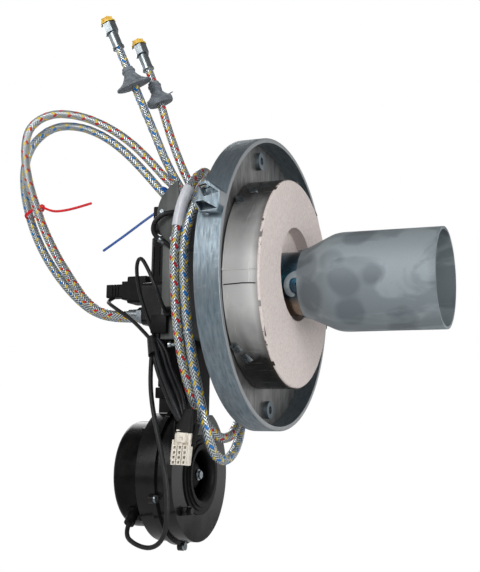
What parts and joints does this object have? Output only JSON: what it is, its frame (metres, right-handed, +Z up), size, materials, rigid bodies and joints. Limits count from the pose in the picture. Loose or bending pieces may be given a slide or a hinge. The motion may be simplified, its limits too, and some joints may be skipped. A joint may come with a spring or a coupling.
{
  "type": "forced draught burner unit",
  "caption": "Burner unit on an oval boiler door: flame tube through an insulation block, radial blower below, pump and solenoid valve behind, two braided fuel hoses.",
  "frame": {"origin": "centre of the four door bolts, on the outer face of the door", "axes": "+X along the flame tube into the boiler, +Z up, towards the hose ends"},
  "size_m": [0.5765, 0.3528, 0.6772],
  "materials": {
    "cast_aluminium": "cast, satin",
    "housing_aluminium": "cast, dull",
    "fibre_board": "matte, fibrous",
    "band_steel": "brushed sheet",
    "flame_ceramic": "matte ceramic",
    "blued_steel": "heat blued",
    "plain_steel": "turned",
    "brass": "turned",
    "electrode_ceramic": "glazed",
    "black_plastic": "moulded, satin",
    "black_paint": "gloss black",
    "rotor_steel": "laminated",
    "copper_wound": "varnished winding",
    "braid_red": "steel braid, red and yellow tracers",
    "braid_blue": "steel braid, blue and yellow tracers",
    "zinc_steel": "zinc plated",
    "yellow_plastic": "moulded",
    "grey_rubber": "matte",
    "white_plastic": "moulded",
    "label_white": "plain film",
    "cable_black": "satin jacket"
  },
  "bodies": {
    "burner": {"air_duct": "black_plastic", "air_housing": "housing_aluminium", "back_cover": "housing_aluminium", "block_band": "band_steel", "blower_screws": "zinc_steel", "cable_gland": "black_plastic", "coil_lead": "cable_black", "coil_plug": "black_plastic", "cover_screws": "zinc_steel", "door": "cast_aluminium", "electrode_clamp": "plain_steel", "electrodes": "electrode_ceramic", "fan_shell_back": "black_paint", "fan_shell_front": "black_paint", "fuel_pipe": "plain_steel", "hose_blue": "braid_blue", "hose_crimp_blue": "zinc_steel", "hose_crimp_red": "zinc_steel", "hose_label": "label_white", "hose_port_blue": "zinc_steel", "hose_port_red": "zinc_steel", "hose_red": "braid_red", "inlet_nozzle": "black_plastic", "insulation_block": "fibre_board", "loom": "cable_black", "loom_boot": "cable_black", "loom_connector": "white_plastic", "mixing_disc": "plain_steel", "mixing_tube": "blued_steel", "motor_bearings": "plain_steel", "motor_can": "black_paint", "motor_gland": "black_plastic", "motor_lead": "cable_black", "motor_stator": "copper_wound", "nozzle": "brass", "nozzle_line": "plain_steel", "pump_body": "black_paint", "pump_filter": "black_paint", "pump_motor": "black_plastic", "pump_motor_cap": "black_plastic", "sensor_lead": "cable_black", "spark_box": "black_plastic", "valve_coil": "black_plastic", "valve_tube": "plain_steel", "wall_boot_blue": "grey_rubber", "wall_boot_red": "grey_rubber"},
    "fan": {"fan_wheel": "black_plastic", "fan_blades": "black_plastic", "fan_shroud": "black_plastic", "motor_shaft": "plain_steel", "motor_rotor": "rotor_steel"},
    "flame_head": {"flame_tube": "flame_ceramic"},
    "valve": {"valve_plunger": "plain_steel"},
    "nut_red": {"union_nut_red": "zinc_steel", "dust_plug_red": "yellow_plastic"},
    "nut_blue": {"union_nut_blue": "zinc_steel", "dust_plug_blue": "yellow_plastic"}
  },
  "joints": [
    {"name": "fan_spin", "type": "hinge", "parent": "burner", "child": "fan", "pos_m": [-0.088, 0, -0.215], "axis": [1, 0, 0], "continuous": true},
    {"name": "head_twist", "type": "hinge", "parent": "burner", "child": "flame_head", "pos_m": [0.1, 0, 0], "axis": [1, 0, 0], "range_deg": [-6, 5]},
    {"name": "valve_lift", "type": "slide", "parent": "burner", "child": "valve", "axis": [-1, 0, 0], "range_m": [0, 0.002], "stiffness_N_per_m": 400, "springref_m": -0.002},
    {"name": "nut_red_spin", "type": "hinge", "parent": "burner", "child": "nut_red", "pos_m": [-0.193, 0.085, 0.31], "axis": [-0.3879, -0.0242, 0.9214], "continuous": true},
    {"name": "nut_blue_spin", "type": "hinge", "parent": "burner", "child": "nut_blue", "pos_m": [-0.221, 0.053, 0.332], "axis": [-0.395, -0.0987, 0.9134], "continuous": true}
  ]
}
